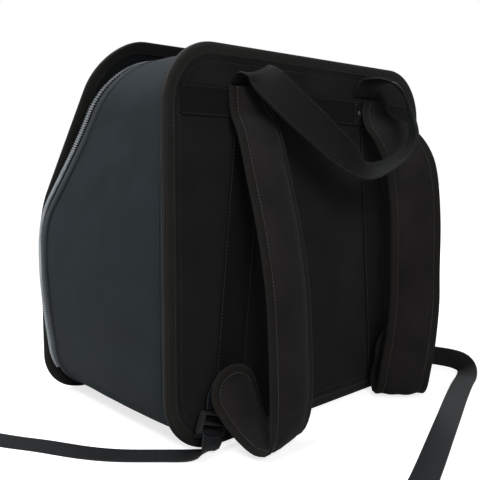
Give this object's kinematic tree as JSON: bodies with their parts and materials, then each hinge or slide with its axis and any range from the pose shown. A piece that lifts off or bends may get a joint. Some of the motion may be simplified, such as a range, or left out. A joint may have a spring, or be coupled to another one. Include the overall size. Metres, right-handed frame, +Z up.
{
  "type": "accordion gig bag",
  "caption": "Upright padded backpack case for an accordion, with a zipped sloping lid, padded shoulder straps, webbing carry handle and adjusting tails.",
  "frame": {"origin": "middle of the back panel's lower edge, on the floor, half way through the edge's thickness", "axes": "+X to the right when looking at the shoulder straps, +Y from the straps through the case to the lid, +Z up"},
  "size_m": [0.5863, 0.4631, 0.39],
  "materials": {
    "panel_cloth": "matt plain-woven synthetic, purplish dark grey",
    "lid_cloth": "matt plain-woven synthetic, blue-black",
    "gusset_cloth": "matt plain-woven synthetic, blue-black",
    "edge_tape": "ribbed edge tape, dull, brownish black",
    "strap_cloth": "matt padded cloth, purplish dark grey",
    "strap_tape": "ribbed edge tape, dull, brownish black",
    "lining_cloth": "brushed lining, black",
    "board": "corrugated stiffener, grey",
    "webbing": "ribbed flat webbing, black",
    "hinge_cloth": "plain tape, black",
    "zipper_tape": "woven zipper tape, black",
    "zipper_coil": "moulded coil, black with a slight shine",
    "slider_metal": "black painted metal",
    "rivet_metal": "plated metal, pale",
    "lock_plastic": "moulded black plastic"
  },
  "bodies": {
    "case": {"back_cover": "panel_cloth", "back_board": "board", "back_lining": "lining_cloth", "back_binding": "edge_tape", "gusset": "gusset_cloth", "gusset_lining": "lining_cloth", "gusset_edge_tape": "edge_tape", "base_board": "board", "lid_hinge_strip": "hinge_cloth", "zipper_tape_case": "zipper_tape", "zipper_coil_case": "zipper_coil", "zipper_stops": "slider_metal", "shoulder_band": "webbing", "left_back_webbing": "webbing", "right_back_webbing": "webbing", "handle_rivets": "rivet_metal", "retaining_strap": "webbing", "left_lock_tab": "webbing", "right_lock_tab": "webbing", "left_tail": "webbing", "right_tail": "webbing"},
    "lid": {"lid_cover": "lid_cloth", "lid_board": "board", "lid_lining": "lining_cloth", "lid_binding": "edge_tape", "lid_hinge_flap": "hinge_cloth", "zipper_tape_lid": "zipper_tape", "zipper_coil_lid": "zipper_coil"},
    "left_slider": {"left_slider": "slider_metal"},
    "left_pull": {"left_pull": "slider_metal"},
    "right_slider": {"right_slider": "slider_metal"},
    "right_pull": {"right_pull": "slider_metal"},
    "handle": {"carry_handle": "webbing"},
    "left_strap": {"left_strap": "strap_cloth", "left_strap_binding": "strap_tape", "left_adjuster": "webbing"},
    "right_strap": {"right_strap": "strap_cloth", "right_strap_binding": "strap_tape", "right_adjuster": "webbing"},
    "left_lock": {"left_lock": "lock_plastic"},
    "right_lock": {"right_lock": "lock_plastic"}
  },
  "joints": [
    {"name": "lid_opening", "type": "hinge", "parent": "case", "child": "lid", "pos_m": [0, 0.236, 0.006], "axis": [-1, 0, 0], "range_deg": [0, 90]},
    {"name": "left_slider_travel", "type": "slide", "parent": "case", "child": "left_slider", "axis": [1, 0, 0], "range_m": [-0.16, 0]},
    {"name": "right_slider_travel", "type": "slide", "parent": "case", "child": "right_slider", "axis": [1, 0, 0], "range_m": [0, 0.068]},
    {"name": "left_pull_lift", "type": "hinge", "parent": "left_slider", "child": "left_pull", "pos_m": [0.04, 0.09654, 0.3733], "axis": [-1, 0, 0], "range_deg": [0, 45]},
    {"name": "right_pull_lift", "type": "hinge", "parent": "right_slider", "child": "right_pull", "pos_m": [0.057, 0.09654, 0.3733], "axis": [-1, 0, 0], "range_deg": [0, 45]},
    {"name": "handle_swing", "type": "hinge", "parent": "case", "child": "handle", "pos_m": [0, -0.009, 0.372], "axis": [-1, 0, 0], "range_deg": [0, 120]},
    {"name": "left_strap_swing", "type": "hinge", "parent": "case", "child": "left_strap", "pos_m": [-0.094, -0.0084, 0.342], "axis": [-1, 0, 0], "range_deg": [0, 15]},
    {"name": "right_strap_swing", "type": "hinge", "parent": "case", "child": "right_strap", "pos_m": [0.094, -0.0084, 0.342], "axis": [-1, 0, 0], "range_deg": [0, 15]},
    {"name": "left_lock_tilt", "type": "hinge", "parent": "case", "child": "left_lock", "pos_m": [-0.15116, -0.014, 0.02031], "axis": [0.9397, 0, -0.342], "range_deg": [0, 30]},
    {"name": "right_lock_tilt", "type": "hinge", "parent": "case", "child": "right_lock", "pos_m": [0.15116, -0.014, 0.02031], "axis": [0.9397, 0, 0.342], "range_deg": [0, 30]}
  ]
}
